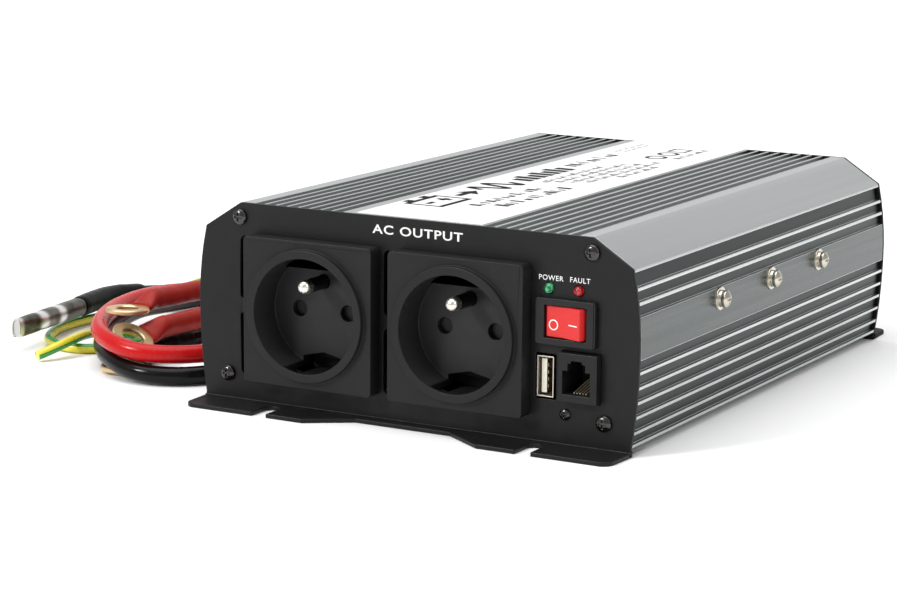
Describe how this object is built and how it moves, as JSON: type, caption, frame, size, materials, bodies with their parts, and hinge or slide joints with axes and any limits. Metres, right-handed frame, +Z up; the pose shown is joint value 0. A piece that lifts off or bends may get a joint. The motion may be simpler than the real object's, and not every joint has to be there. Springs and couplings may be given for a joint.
{
  "type": "power inverter",
  "caption": "Flat ribbed metal box inverter with two round pin-earth sockets, a rocker switch, USB and remote ports, a rear fan and DC studs, and battery cables.",
  "frame": {"origin": "on the surface it stands on, under the middle of the box of the inverter without its cables", "axes": "+Z up, the socket panel faces -Y, +X to the right seen from the front"},
  "size_m": [0.2895, 0.258, 0.0697],
  "materials": {
    "anodised": "satin brushed",
    "sheet_steel": "satin black powder coat",
    "bare_sheet": "plain",
    "label": "matte film",
    "socket_black": "fine texture",
    "dark_plastic": "moulded",
    "rocker_red": "satin",
    "nickel": "nickel plated",
    "cream_plastic": "moulded",
    "gold": "plated",
    "green_lens": "translucent",
    "red_lens": "translucent",
    "black_screw": "black zinc",
    "zinc": "zinc plated",
    "brass": "plain",
    "tinned": "tinned",
    "copper": "enamelled copper",
    "board_green": "solder mask",
    "ferrite": "sintered",
    "cap_blue": "sleeve",
    "fuse_green": "translucent",
    "red_insulator": "moulded",
    "red_pvc": "glossy pvc",
    "black_pvc": "glossy pvc",
    "earth_pvc": "yellow and green pvc",
    "red_shrink": "matte heat shrink",
    "black_shrink": "matte heat shrink"
  },
  "bodies": {
    "root": {"housing": "anodised", "bottom_plate": "bare_sheet", "front_panel": "sheet_steel", "rear_panel": "sheet_steel", "label": "label", "left_socket": "socket_black", "right_socket": "socket_black", "left_socket_back": "dark_plastic", "right_socket_back": "dark_plastic", "left_earth_pin": "nickel", "right_earth_pin": "nickel", "socket_contacts": "brass", "switch_body": "dark_plastic", "switch_terminals": "tinned", "usb_shell": "nickel", "usb_tongue": "cream_plastic", "remote_jack": "dark_plastic", "jack_contacts": "gold", "power_led": "green_lens", "fault_led": "red_lens", "front_board": "board_green", "panel_screws": "black_screw", "board_screw": "black_screw", "side_screws": "zinc", "side_washers": "zinc", "fan_frame": "dark_plastic", "fan_guard": "nickel", "fan_screws": "black_screw", "terminal_collars": "red_insulator", "dc_studs": "brass", "stud_nuts": "zinc", "earth_stud": "brass", "busbars": "copper", "main_board": "board_green", "board_posts": "zinc", "transformer_cores": "ferrite", "transformer_windings": "copper", "capacitors": "cap_blue", "transistors": "dark_plastic", "clamp_bars": "bare_sheet", "fuses": "fuse_green", "control_board": "board_green", "output_leads": "black_pvc", "red_cable_long": "red_pvc", "red_cable_short": "red_pvc", "black_cable_long": "black_pvc", "black_cable_short": "black_pvc", "earth_wire": "earth_pvc", "red_lugs": "brass", "black_lugs": "brass", "tube_terminal": "tinned", "earth_lug": "brass", "red_sleeves": "red_shrink", "black_sleeves": "black_shrink"},
    "rocker": {"rocker": "rocker_red"},
    "contact_blade": {"contact_blade": "copper"},
    "fan_rotor": {"fan_rotor": "dark_plastic"},
    "left_shutter": {"left_shutter": "dark_plastic"},
    "right_shutter": {"right_shutter": "dark_plastic"}
  },
  "joints": [
    {"name": "rocker_tilt", "type": "hinge", "parent": "root", "child": "rocker", "pos_m": [0.058, -0.112, 0.0414], "axis": [0, 0, 1], "range_deg": [0, 24]},
    {"name": "blade_tilt", "type": "hinge", "parent": "root", "child": "contact_blade", "pos_m": [0.058, -0.1034, 0.0414], "axis": [0, 0, 1], "range_deg": [-12, 0]},
    {"name": "fan_spin", "type": "hinge", "parent": "root", "child": "fan_rotor", "pos_m": [0.038, 0.0943, 0.036], "axis": [0, 1, 0], "continuous": true},
    {"name": "left_shutter_turn", "type": "hinge", "parent": "root", "child": "left_shutter", "pos_m": [-0.0364, -0.1047, 0.0344], "axis": [0, 1, 0], "range_deg": [0, 35], "stiffness_Nm_per_rad": 0.02},
    {"name": "right_shutter_turn", "type": "hinge", "parent": "root", "child": "right_shutter", "pos_m": [0.0199, -0.1047, 0.0344], "axis": [0, 1, 0], "range_deg": [0, 35], "stiffness_Nm_per_rad": 0.02}
  ],
  "couplings": [
    {"joint": "blade_tilt", "follows": "rocker_tilt", "ratio": -0.5}
  ]
}
